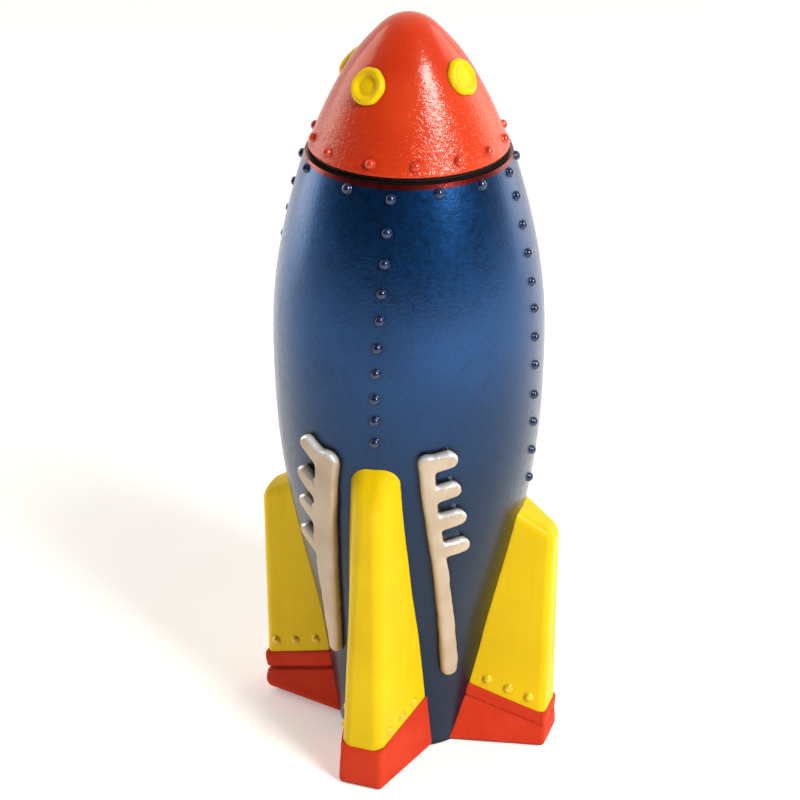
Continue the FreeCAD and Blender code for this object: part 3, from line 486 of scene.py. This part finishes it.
def tin_material():
    m, nt, b = new_material("bare_tinplate")
    v = coords(nt)
    brushed = noise(nt, mapped(nt, v, (1.0, 1.0, 14.0)), 160.0, 3.0, 0.6)
    spots = noise(nt, v, 110.0, 4.0, 0.6)
    base = ramp(nt, brushed, [(0.3, (0.40, 0.40, 0.39)), (0.7, (0.62, 0.61, 0.58))])
    base = mix(nt, range_map(nt, spots, 0.58, 0.72, 0.0, 0.6), base, (0.30, 0.24, 0.17))
    nt.links.new(base, b.inputs["Base Color"])
    b.inputs["Metallic"].default_value = 1.0
    nt.links.new(range_map(nt, brushed, 0.3, 0.7, 0.28, 0.45), b.inputs["Roughness"])
    nt.links.new(bump(nt, brushed, 0.12, 0.0003), b.inputs["Normal"])
    return m


def seal_material():
    m, nt, b = new_material("seal_black_rubber")
    v = coords(nt)
    grain = noise(nt, v, 1800.0, 3.0, 0.6)
    base = ramp(nt, grain, [(0.3, (0.010, 0.008, 0.008)), (0.7, (0.030, 0.022, 0.020))])
    nt.links.new(base, b.inputs["Base Color"])
    nt.links.new(range_map(nt, grain, 0.3, 0.7, 0.55, 0.75), b.inputs["Roughness"])
    nt.links.new(bump(nt, grain, 0.2, 0.0003), b.inputs["Normal"])
    return m


MAT = {
    "hull": hull_material(), "nose": nose_material(), "fin": yellow_material(), "boot": boot_material(),
    "exhaust": exhaust_material(), "tin": tin_material(), "seal": seal_material(),
    "port": yellow_material("porthole_yellow_enamel", 0.34, 1.02),
    "rivet_blue": rivet_material("rivet_dark_blue", (0.014, 0.034, 0.110), (0.007, 0.014, 0.042)),
    "rivet_red": rivet_material("rivet_red_enamel", (0.70, 0.060, 0.014), (0.42, 0.028, 0.010), 0.26),
    "rivet_yellow": rivet_material("rivet_yellow_enamel", (0.90, 0.65, 0.010), (0.66, 0.40, 0.006), 0.34),
}


def dress(ob, mat):
    ob.data.materials.clear()
    ob.data.materials.append(MAT[mat])


for n, ob in NODES.items():
    key = ("hull" if n.startswith("hull_panel") else "rivet_blue" if n.startswith(("seam_rivets", "neck_rivets"))
           else "fin" if n.startswith("fin_") and not n.startswith("fin_rivets") else "rivet_yellow" if n.startswith("fin_rivets")
           else "boot" if n.startswith("boot") else "exhaust" if n.startswith("exhaust") else "port" if n.startswith("porthole")
           else "nose" if n == "nose_cone" else "rivet_red" if n == "nose_rivets" else "seal" if n in ("seal_ring", "neck_ring") else "tin")
    dress(ob, key)

# ------------------------------------------------------------------ rivets and portholes
rng = np.random.default_rng(11)
DOME = [(1.62, -0.35), (1.62, -0.02), (1.52, 0.06), (1.44, 0.20)] + \
       [(1.42 * math.cos(t), 0.16 + 1.22 * math.sin(t)) for t in np.linspace(0.14, 1.42, 9)] + [(0.0, 1.38)]
LOW_DOME = [(1.60, -0.30), (1.60, -0.02), (1.50, 0.05), (1.36, 0.16)] + \
           [(1.30 * math.cos(t), 0.10 + 0.85 * math.sin(t)) for t in np.linspace(0.16, 1.42, 8)] + [(0.0, 0.95)]


def rivets(node_name, body, mat, profile):
    parts = []
    for pts in islands(node_name):
        seat, n = axis_frame(pts, 1.4)
        parts.append(lathe_piece([(r, h) for r, h in profile], seat, n, 28, rng, 0.035))
    v, f = join_parts(parts)
    ob = make_object(node_name + "_heads", v, f, body, replaces=(node_name,))
    dress(ob, mat)
    return ob


for where in ("front", "right", "rear", "left"):
    rivets("seam_rivets_" + where, "hull", "rivet_blue", DOME)
    rivets("fin_rivets_" + where, "hull", "rivet_yellow", LOW_DOME)
rivets("neck_rivets", "hull", "rivet_blue", DOME)
rivets("nose_rivets", "nose", "rivet_red", DOME)


# ------------------------------------------------------------------ smooth solids from distance fields
def surface_net(f, low, high, h):
    """Quad mesh of f = 0 on a grid of pitch h, its points then moved onto the surface."""
    axes = [np.arange(low[k], high[k] + h, h) for k in range(3)]
    n = [len(a) for a in axes]
    V = np.empty(n)
    for i, x in enumerate(axes[0]):
        Y, Z = np.meshgrid(axes[1], axes[2], indexing="ij")
        V[i] = f(np.stack([np.full_like(Y, x), Y, Z], -1).reshape(-1, 3)).reshape(Y.shape)
    S = V < 0
    count = np.zeros([k - 1 for k in n], np.int8)
    for a in (0, 1):
        for b in (0, 1):
            for c in (0, 1):
                count += S[a:n[0] - 1 + a, b:n[1] - 1 + b, c:n[2] - 1 + c]
    active = (count > 0) & (count < 8)
    cells = np.argwhere(active)
    index = -np.ones(count.shape, int)
    index[active] = np.arange(len(cells))
    total, number = np.zeros((len(cells), 3)), np.zeros(len(cells))
    for axis in range(3):
        step = np.eye(3, dtype=int)[axis]
        o1, o2 = np.eye(3, dtype=int)[(axis + 1) % 3], np.eye(3, dtype=int)[(axis + 2) % 3]
        for a in (0, 1):
            for b in (0, 1):
                base = o1 * a + o2 * b
                p, q = cells + base, cells + base + step
                vp, vq = V[tuple(p.T)], V[tuple(q.T)]
                m = (vp < 0) != (vq < 0)
                t = vp[m] / (vp[m] - vq[m])
                total[m] += base + t[:, None] * step
                number[m] += 1
    points = (cells + total / number[:, None]) * h + np.array(low, float)
    quads = []
    for axis in range(3):
        o1, o2 = (axis + 1) % 3, (axis + 2) % 3
        cut1 = [slice(None)] * 3
        cut2 = [slice(None)] * 3
        cut1[axis], cut2[axis] = slice(0, n[axis] - 1), slice(1, n[axis])
        change = S[tuple(cut1)] != S[tuple(cut2)]
        e = np.argwhere(change)
        e = e[(e[:, o1] > 0) & (e[:, o1] < n[o1] - 1) & (e[:, o2] > 0) & (e[:, o2] < n[o2] - 1)]
        d1, d2 = np.eye(3, dtype=int)[o1], np.eye(3, dtype=int)[o2]
        q = np.stack([index[tuple((e - d1 - d2).T)], index[tuple((e - d2).T)], index[tuple(e.T)], index[tuple((e - d1).T)]], 1)
        inside = S[tuple(e.T)]
        q[~inside] = q[~inside][:, ::-1]
        quads.append(q)
    quads = np.vstack(quads)
    quads = quads[(quads >= 0).all(1)]
    for _ in range(3):
        v = f(points)
        g = np.empty_like(points)
        for axis in range(3):
            d = np.zeros(3)
            d[axis] = 0.02
            g[:, axis] = (f(points + d) - f(points - d)) / 0.04
        gg = np.maximum((g * g).sum(1), 0.2)
        move = -(v / gg)[:, None] * g
        size = np.linalg.norm(move, axis=1)
        move *= np.minimum(1.0, 0.6 * h / np.maximum(size, 1e-9))[:, None]
        points = points + move
    return points, quads


def fillet(a, b, r):
    """Where both a and b hold, with a rounded edge of radius r."""
    return np.hypot(np.maximum(a + r, 0), np.maximum(b + r, 0)) + np.minimum(np.maximum(a, b), -r)


def blend_min(a, b, k):
    t = np.clip(0.5 + 0.5 * (b - a) / k, 0, 1)
    return b + (a - b) * t - k * t * (1 - t)


def wander(p, size, phase):
    """A smooth unevenness of about one unit, as on hand-finished work."""
    q = p / size
    return (np.sin(q[:, 0] + 1.7 * np.sin(q[:, 2] * 0.9 + phase)) * 0.45 + np.sin(q[:, 2] * 1.3 + 2.1 * phase + np.cos(q[:, 1] * 1.1)) * 0.35
            + np.sin(q[:, 1] * 1.7 - q[:, 2] * 0.6 + 0.7 * phase) * 0.35)


LEAN = 0.03
FIN = {
    "front": dict(reach=44.6, top=102.2, apex=107.7, half=(6.5, 3.7), root=(13.3, 10.7, 6.6), boot=(14.0, 20.3), corner=2.7, crown=4.2,
                  groove=(4.6, 0.10), foot=1.5, azimuth=0),
    "right": dict(reach=46.6, top=73.5, apex=80.5, half=(6.5, 4.3), root=(12.8, 8.2, 6.4), boot=(12.4, 20.6), corner=2.2, crown=2.6,
                  groove=(4.5, 0.42), foot=1.7, azimuth=90),
    "rear": dict(reach=44.6, top=102.2, apex=107.7, half=(6.5, 3.7), root=(13.3, 10.7, 6.6), boot=(14.0, 20.3), corner=2.7, crown=4.2,
                 groove=(4.6, 0.38), foot=1.7, azimuth=180),
    "left": dict(reach=46.6, top=75.5, apex=81.5, half=(6.5, 4.3), root=(12.8, 8.2, 6.4), boot=(15.4, 23.0), corner=2.8, crown=4.2,
                 groove=(6.3, 1.15), foot=5.0, azimuth=270),
}


def fin_parts(f, p):
    x, d, z = p[:, 0], -p[:, 1], p[:, 2]
    zc = np.clip(z, 0.5, f["apex"] + 6)
    q = x - LEAN * z
    half = f["half"][0] + (f["half"][1] - f["half"][0]) * z / f["top"]
    mid, hi = 0.45 * f["top"], f["apex"] + 6.0
    root = np.where(z <= mid, f["root"][0] + (f["root"][1] - f["root"][0]) * z / mid, f["root"][1] + (f["root"][2] - f["root"][1]) * (z - mid) / (hi - mid))
    r = hull_r(zc)
    rt = np.sqrt(np.maximum(r * r - root * root, 4.0))
    slope = (root - half) / (f["reach"] - rt)
    flank = (np.abs(q) - (half + slope * (f["reach"] - d))) / np.sqrt(1 + slope * slope)
    face = d - f["reach"]
    ra = float(hull_r(f["apex"]))
    rs = (f["apex"] - f["top"]) / (f["reach"] - ra)
    roof = (z - (f["top"] + rs * (f["reach"] - d))) / math.sqrt(1 + rs * rs)
    line = f["boot"][0] + (f["boot"][1] - f["boot"][0]) / 22.0 * (45.0 - np.abs(d))
    root_wall = (r - 0.55) - np.hypot(x, d)
    return flank, face, roof, line, root_wall


def fin_field(f, phase):
    def field(p):
        flank, face, roof, line, root_wall = fin_parts(f, p)
        w = 0.06 * wander(p, 7.0, phase)
        body = fillet(flank + 0.06 + w, face + 0.08 + w, f["corner"])
        body = fillet(body, roof + 0.05 + w, f["crown"])
        return np.maximum(np.maximum(body, (line - 1.6) - p[:, 2]), root_wall)
    return field


def boot_field(f, phase):
    cosl = 1 / math.hypot(1, (f["boot"][1] - f["boot"][0]) / 22.0)

    def field(p):
        flank, face, roof, line, root_wall = fin_parts(f, p)
        z = p[:, 2]
        w = 0.05 * wander(p, 5.0, phase)
        side = fillet(flank - 0.42 + w, face - 0.42 + w, 1.25)
        drop, deep = f["groove"]
        level = (z - (line - drop)) * cosl
        lobe = 0.35 * deep * np.cos(np.clip(level / 4.2, -1, 1) * math.pi) + 0.35 * deep
        side = side + lobe * 0.8
        body = fillet(side, (z - line) * cosl, 0.55)
        body = fillet(body, -z, f["foot"])
        cut = np.hypot((side + 0.02) * 0.9, level) - 0.55 * deep - 0.08
        body = -blend_min(-body, cut, 0.25) if deep > 0.2 else body
        return np.maximum(body, root_wall - 0.1)
    return field


def turned(verts, azimuth):
    a = math.radians(azimuth)
    c, s = math.cos(a), math.sin(a)
    out = verts.copy()
    out[:, 0] = c * verts[:, 0] - s * verts[:, 1]
    out[:, 1] = s * verts[:, 0] + c * verts[:, 1]
    return out


PITCH = 0.42 if FINE else 0.8
for k, (where, f) in enumerate(FIN.items()):
    v, q = surface_net(fin_field(f, 1.3 + k), (-18, -f["reach"] - 1.5, 8), (21, -9, f["apex"] + 4), PITCH)
    fin = make_object("fin_%s_shell" % where, turned(v, f["azimuth"]), q, "hull", replaces=("fin_" + where,))
    dress(fin, "fin")
    v, q = surface_net(boot_field(f, 2.1 + k), (-18, -f["reach"] - 1.8, -1.5), (18, -9, 32), PITCH)
    boot = make_object("boot_%s_rubber" % where, turned(v, f["azimuth"]), q, "hull", replaces=("boot_" + where,))
    dress(boot, "boot")

# ------------------------------------------------------------------ exhaust manifolds
INNER_EDGE = {1: [(12.4, 112.2), (14.4, 92.7), (16.1, 73.8), (16.8, 53.6), (17.0, 32.0)],
              -1: [(10.6, 109.6), (11.4, 99.5), (12.1, 88.5), (13.1, 69.0), (13.9, 53.5), (14.5, 42.7), (14.9, 35.0)]}
OUTER_EDGE = {1: [(21.0, 32.0), (20.8, 52.0), (20.1, 72.7), (18.8, 87.0), (17.0, 107.0)],
              -1: [(18.9, 35.0), (19.1, 43.0), (19.5, 52.0), (20.3, 65.0), (20.0, 86.0), (18.0, 104.0)]}
BRANCHES = {1: [(15.5, 110.6, 23.0, 112.5), (16.4, 100.4, 24.0, 102.0), (17.3, 90.4, 25.1, 91.9), (18.0, 79.8, 25.7, 81.2)],
            -1: [(14.0, 106.9, 23.6, 113.4), (16.0, 95.6, 25.0, 102.2), (16.6, 85.6, 25.1, 92.0), (17.0, 73.6, 25.8, 80.2)]}
FEET = {1: (19.0, 36.0, 19.0, 28.6, 2.0), -1: (16.9, 39.0, 16.9, 31.8, 2.0)}
BRANCH_HALF = 2.9
PROUD = 2.9


def unroll(sign, x, z):
    """Place along the hull's girth of a front-view point, in millimetres from the front line."""
    r = hull_r(z) + 1.5
    return r * np.arcsin(np.clip((sign * x + LEAN * z) / r, -0.999, 0.999))


def bar_distance(u, z, a, b, ra, rb):
    ax, az, bx, bz = a[0], a[1], b[0], b[1]
    dx, dz = bx - ax, bz - az
    t = np.clip(((u - ax) * dx + (z - az) * dz) / (dx * dx + dz * dz), 0, 1)
    return np.hypot(u - ax - t * dx, z - az - t * dz) - (ra + (rb - ra) * t)


def manifold_field(sign, phase):
    zs = np.array([111.0, 100.0, 88.0, 73.0, 55.0, 43.0, 35.0 if sign > 0 else 38.0])
    inner = np.interp(zs, [p[1] for p in INNER_EDGE[sign]][::-1], [p[0] for p in INNER_EDGE[sign]][::-1])
    outer = np.interp(zs, [p[1] for p in OUTER_EDGE[sign]], [p[0] for p in OUTER_EDGE[sign]])
    if sign < 0:
        zs[0] = 107.5
    ui, uo = unroll(sign, inner, zs), unroll(sign, outer, zs)
    stem = [((ui[k] + uo[k]) / 2, zs[k], abs(uo[k] - ui[k]) / 2) for k in range(len(zs))]
    fx0, fz0, fx1, fz1, fr = FEET[sign]
    stem.append((float(unroll(sign, fx1, fz1 + fr)), fz1 + 1.5 * fr, stem[-1][2] * 0.93))
    arms = []
    for x0, z0, x1, z1 in BRANCHES[sign]:
        u0, u1 = float(unroll(sign, x0 + 1.2, z0)), float(unroll(sign, x1, z1))
        n = math.hypot(u1 - u0, z1 - z0)
        k = 1 - (BRANCH_HALF + 0.35) / n
        arms.append(((u0, z0), (u0 + (u1 - u0) * k, z0 + (z1 - z0) * k)))

    def field(p):
        z = p[:, 2]
        r = hull_r(z)
        u = (r + 1.5) * np.arctan2(p[:, 0], -p[:, 1])
        height = np.hypot(p[:, 0], p[:, 1]) - r
        s = None
        for (u0, z0, r0), (u1, z1, r1) in zip(stem[:-1], stem[1:]):
            d = bar_distance(u, z, (u0, z0), (u1, z1), r0, r1)
            s = d if s is None else np.minimum(s, d)
        for a, b in arms:
            s = blend_min(s, bar_distance(u, z, a, b, BRANCH_HALF * 0.98, BRANCH_HALF * 0.92), 1.3)
        w = 0.10 * wander(p, 2.6, phase) + 0.05 * wander(p, 1.1, 2 * phase)
        body = fillet(s + 0.12 + w, height - PROUD + 0.12 + 0.8 * w, 1.35)
        return np.maximum(body, -0.5 - height)
    return field


for name, sign, azimuth in (("front_right", 1, 0), ("front_left", -1, 0), ("rear_left", 1, 180), ("rear_right", -1, 180)):
    box = ((8, -42, 25), (34, -18, 119)) if sign > 0 else ((-32, -44, 28), (-4, -20, 120))
    v, q = surface_net(manifold_field(sign, 1.9 + 0.8 * sign), box[0], box[1], 0.36 if FINE else 0.6)
    ob = make_object("exhaust_%s_casting" % name, turned(v, azimuth), q, "hull", replaces=("exhaust_" + name,))
    dress(ob, "exhaust")

# ------------------------------------------------------------------ nose shell
def nose_shell():
    """The nose skin as one finely turned shell, through the CAD skin's own outline."""
    co = cad_points("nose_cone")
    r, z = np.hypot(co[:, 0], co[:, 1]), co[:, 2]
    key = {}
    for rr, zz in zip(r, z):
        k = round(float(zz), 2)
        key[k] = max(key.get(k, 0.0), float(rr))
    pts = sorted((zz, rr) for zz, rr in key.items() if zz >= 192.29)
    out = []
    for k, (zz, rr) in enumerate(pts):
        tz = [q[0] for q in out[-1:]] or [0]
        if zz < 221.5 and rr >= float(nose_r(zz)) - 0.12:
            if not out or zz - tz[0] > 1.2:
                out.append((zz, rr))
    out = [q for q in out if q[0] < 221.5] + [(224.8, 9.75), (228.35, 5.7), (229.98, 0.0)]
    P = np.array([(q[1], q[0]) for q in out])
    full = np.vstack([P, np.column_stack([-P[:-1, 0][::-1], P[:-1, 1][::-1]])])
    t = np.concatenate([[0], np.cumsum(np.linalg.norm(np.diff(full, axis=0), axis=1))])
    fr, fz = spline(t, full[:, 0]), spline(t, full[:, 1])
    tt = np.linspace(0, t[len(P) - 1], 90)
    return np.column_stack([np.maximum(fr(tt), 0.0), np.minimum(fz(tt), 229.99)])


outer = nose_shell()
tangent = np.gradient(outer, axis=0)
tangent /= np.linalg.norm(tangent, axis=1)[:, None]
inner = outer + 0.85 * np.column_stack([-tangent[:, 1], tangent[:, 0]])
inner = inner[:-6]
inner[0] = (outer[0, 0] - 1.0, outer[0, 1] + 0.02)
edge = [(outer[0, 0] - 0.75, outer[0, 1] - 0.0), (outer[0, 0] - 0.25, outer[0, 1] - 0.0)]
outer = outer[1:-1]
profile = [tuple(q) for q in inner[::-1] if q[0] > 0.6] + edge + [tuple(q) for q in outer]
seg = 180 if FINE else 72
verts, faces = [], []
for r, z in profile:
    for k in range(seg):
        t = 2 * math.pi * k / seg
        verts.append((r * math.cos(t), r * math.sin(t), z))
for i in range(len(profile) - 1):
    for k in range(seg):
        k2 = (k + 1) % seg
        faces.append((i * seg + k, i * seg + k2, (i + 1) * seg + k2, (i + 1) * seg + k))
verts.append((0, 0, profile[0][1] + 0.02))
verts.append((0, 0, 229.99))
last = (len(profile) - 1) * seg
for k in range(seg):
    k2 = (k + 1) % seg
    faces.append((len(verts) - 2, k2, k))
    faces.append((last + k, last + k2, len(verts) - 1))
ob = make_object("nose_skin", np.array(verts), faces, "nose", replaces=("nose_cone",))
outward(ob)
dress(ob, "nose")

# ------------------------------------------------------------------ portholes
PORTS = {"front": (-18.2, 213.7, 1.0, 0.30), "right": (75.2, 214.8, 0.62, 0.75), "rear": (163.0, 213.6, 0.9, 0.4), "left": (-106.5, 212.0, 0.9, 0.4)}


def nose_point(az, z):
    r = float(nose_r(z))
    dr = float(nose_r(z + 0.05) - nose_r(z - 0.05)) / 0.1
    a = math.radians(az)
    n = np.array([math.sin(a), -math.cos(a), -dr])
    n /= np.linalg.norm(n)
    return np.array([r * math.sin(a), -r * math.cos(a), z]), n, dr


def porthole(where, az, z0, fat, floor):
    c, n0, dr = nose_point(az, z0)
    up = math.sqrt(1 + dr * dr)
    R = 5.35
    prof = [(R + 0.02, -0.55), (R + 0.02, 0.05), (R - 0.03, 0.45), (R - 0.22, 0.80), (R - 0.55, 1.15), (R - 1.0, 1.30 + 0.35 * fat), (R - 1.45, 1.20 + 0.32 * fat),
            (R - 1.85, 0.95 + 0.28 * fat), (R - 2.2, 0.75 + 0.12 * fat), (R - 2.5, floor + 0.22), (R - 2.68, floor + 0.06), (R - 2.85, floor + 0.02), (1.6, floor + 0.03), (0.8, floor + 0.04)]
    seg = 72
    verts, faces = [], []
    ph = rng.uniform(0, 6.28, 4)
    for i, (r, h) in enumerate(prof):
        for k in range(seg):
            t = 2 * math.pi * k / seg
            wob = 0.05 * math.sin(2 * t + ph[0]) + 0.10 * math.sin(3 * t + ph[1]) + 0.07 * math.sin(6 * t + ph[2]) + 0.04 * math.sin(9 * t + ph[3])
            rr = r + wob * (1.0 if i < 7 else 0.5)
            hh = h + (0.08 * math.sin(2 * t + ph[1]) + 0.06 * math.sin(5 * t + ph[0]) if 2 < i < 9 else 0)
            a_, b_ = rr * math.cos(t), rr * math.sin(t)
            zz = z0 + b_ / up
            s, n, _ = nose_point(az + math.degrees(a_ / max(4.0, float(nose_r(z0)))), zz)
            verts.append(s + n * hh)
    s, n, _ = nose_point(az, z0)
    verts.append(s + n * (floor + 0.04))
    m = len(prof)
    for i in range(m - 1):
        for k in range(seg):
            k2 = (k + 1) % seg
            faces.append((i * seg + k, i * seg + k2, (i + 1) * seg + k2, (i + 1) * seg + k))
    for k in range(seg):
        faces.append(((m - 1) * seg + k, (m - 1) * seg + (k + 1) % seg, len(verts) - 1))
    faces.append(tuple(range(seg - 1, -1, -1)))
    ob = make_object("porthole_%s_ring" % where, np.array(verts), faces, "nose", replaces=("porthole_" + where,))
    outward(ob)
    dress(ob, "port")


for where, (az, z0, fat, floor) in PORTS.items():
    porthole(where, az, z0, fat, floor)

# ------------------------------------------------------------------ camera, stage, light
AZ, EL, DIST, LOOK = 19.5, 26.6, 0.650, Vector((0, 0, 0.115))
a, e = math.radians(AZ), math.radians(EL)
back = Vector((math.sin(a) * math.cos(e), -math.cos(a) * math.cos(e), math.sin(e)))
cam_data = bpy.data.cameras.new("camera")
cam = bpy.data.objects.new("camera", cam_data)
bpy.context.scene.collection.objects.link(cam)
cam_data.sensor_width = 36.0
cam_data.lens = 98.1
cam_data.shift_x = -0.0112
cam_data.shift_y = -0.0163
cam_data.clip_start, cam_data.clip_end = 0.01, 20.0
cam.location = LOOK + back * DIST
cam.rotation_mode = "QUATERNION"
cam.rotation_quaternion = (-back).to_track_quat("-Z", "Y")
bpy.context.scene.camera = cam

floor_me = bpy.data.meshes.new("floor")
S = 6.0
floor_me.from_pydata([(-S, -S, 0), (S, -S, 0), (S, S, 0), (-S, S, 0)], [], [(0, 1, 2, 3)])
floor = bpy.data.objects.new("floor", floor_me)
bpy.context.scene.collection.objects.link(floor)
fm, fnt, fb = new_material("floor_paper")
fv_ = coords(fnt)
fnt.links.new(ramp(fnt, noise(fnt, fv_, 60.0, 3.0), [(0.3, (0.86, 0.86, 0.86)), (0.7, (0.88, 0.88, 0.88))]), fb.inputs["Base Color"])
fb.inputs["Roughness"].default_value = 0.9
fb.inputs["Emission Color"].default_value = (1.0, 1.0, 1.0, 1.0)
fb.inputs["Emission Strength"].default_value = 0.30
floor.data.materials.append(fm)


def area(name, azimuth, elevation, dist, size, power, colour=(1, 1, 1), aim=(0, 0, 0.11), size_y=None):
    """A softbox at an azimuth and elevation relative to the camera's side of the object."""
    A, E = math.radians(AZ + azimuth), math.radians(elevation)
    d = Vector((math.sin(A) * math.cos(E), -math.cos(A) * math.cos(E), math.sin(E)))
    li = bpy.data.lights.new(name, "AREA")
    li.shape = "RECTANGLE"
    li.size = size
    li.size_y = size_y or size
    li.energy = power
    li.color = colour
    ob = bpy.data.objects.new(name, li)
    bpy.context.scene.collection.objects.link(ob)
    ob.location = Vector(aim) + d * dist
    ob.rotation_mode = "QUATERNION"
    ob.rotation_quaternion = (-d).to_track_quat("-Z", "Y")
    return ob


area("key", 43, 40, 1.15, 0.30, 11.5, (1.0, 0.985, 0.96), size_y=0.70)
area("rim_left", -118, 18, 1.0, 0.55, 3.0, (1.0, 0.93, 0.84), size_y=0.9)
area("rim_right", 122, 18, 1.0, 0.55, 2.2, (1.0, 0.95, 0.88), size_y=0.9)

world = bpy.data.worlds.new("studio")
bpy.context.scene.world = world
world.use_nodes = True
wn = world.node_tree
wn.nodes.clear()
wo = wn.nodes.new("ShaderNodeOutputWorld")
wc = wn.nodes.new("ShaderNodeTexCoord")
dot = wn.nodes.new("ShaderNodeVectorMath")
dot.operation = "DOT_PRODUCT"
dot.inputs[1].default_value = (math.sin(a), -math.cos(a), 0.0)
wn.links.new(wc.outputs["Generated"], dot.inputs[0])
rmp = wn.nodes.new("ShaderNodeValToRGB")
shift_ = wn.nodes.new("ShaderNodeMapRange")
shift_.inputs["From Min"].default_value = -1.0
shift_.inputs["From Max"].default_value = 1.0
wn.links.new(dot.outputs["Value"], shift_.inputs["Value"])
wn.links.new(shift_.outputs["Result"], rmp.inputs["Fac"])
stops = [(0.0, (0.85, 0.81, 0.76)), (0.36, (0.62, 0.57, 0.51)), (0.50, (0.22, 0.20, 0.19)), (0.66, (0.05, 0.05, 0.055)), (1.0, (0.02, 0.02, 0.025))]
while len(rmp.color_ramp.elements) < len(stops):
    rmp.color_ramp.elements.new(0.5)
for el, (pos, col) in zip(rmp.color_ramp.elements, stops):
    el.position = pos
    el.color = (*col, 1.0)
bg = wn.nodes.new("ShaderNodeBackground")
wn.links.new(rmp.outputs["Color"], bg.inputs["Color"])
bg.inputs["Strength"].default_value = 1.0
seen = wn.nodes.new("ShaderNodeBackground")
seen.inputs["Color"].default_value = (1.0, 1.0, 1.0, 1.0)
path = wn.nodes.new("ShaderNodeLightPath")
pick = wn.nodes.new("ShaderNodeMixShader")
wn.links.new(path.outputs["Is Camera Ray"], pick.inputs[0])
wn.links.new(bg.outputs[0], pick.inputs[1])
wn.links.new(seen.outputs[0], pick.inputs[2])
wn.links.new(pick.outputs[0], wo.inputs[0])

bpy.context.scene.view_settings.view_transform = "Standard"
bpy.context.scene.view_settings.look = "Medium High Contrast"
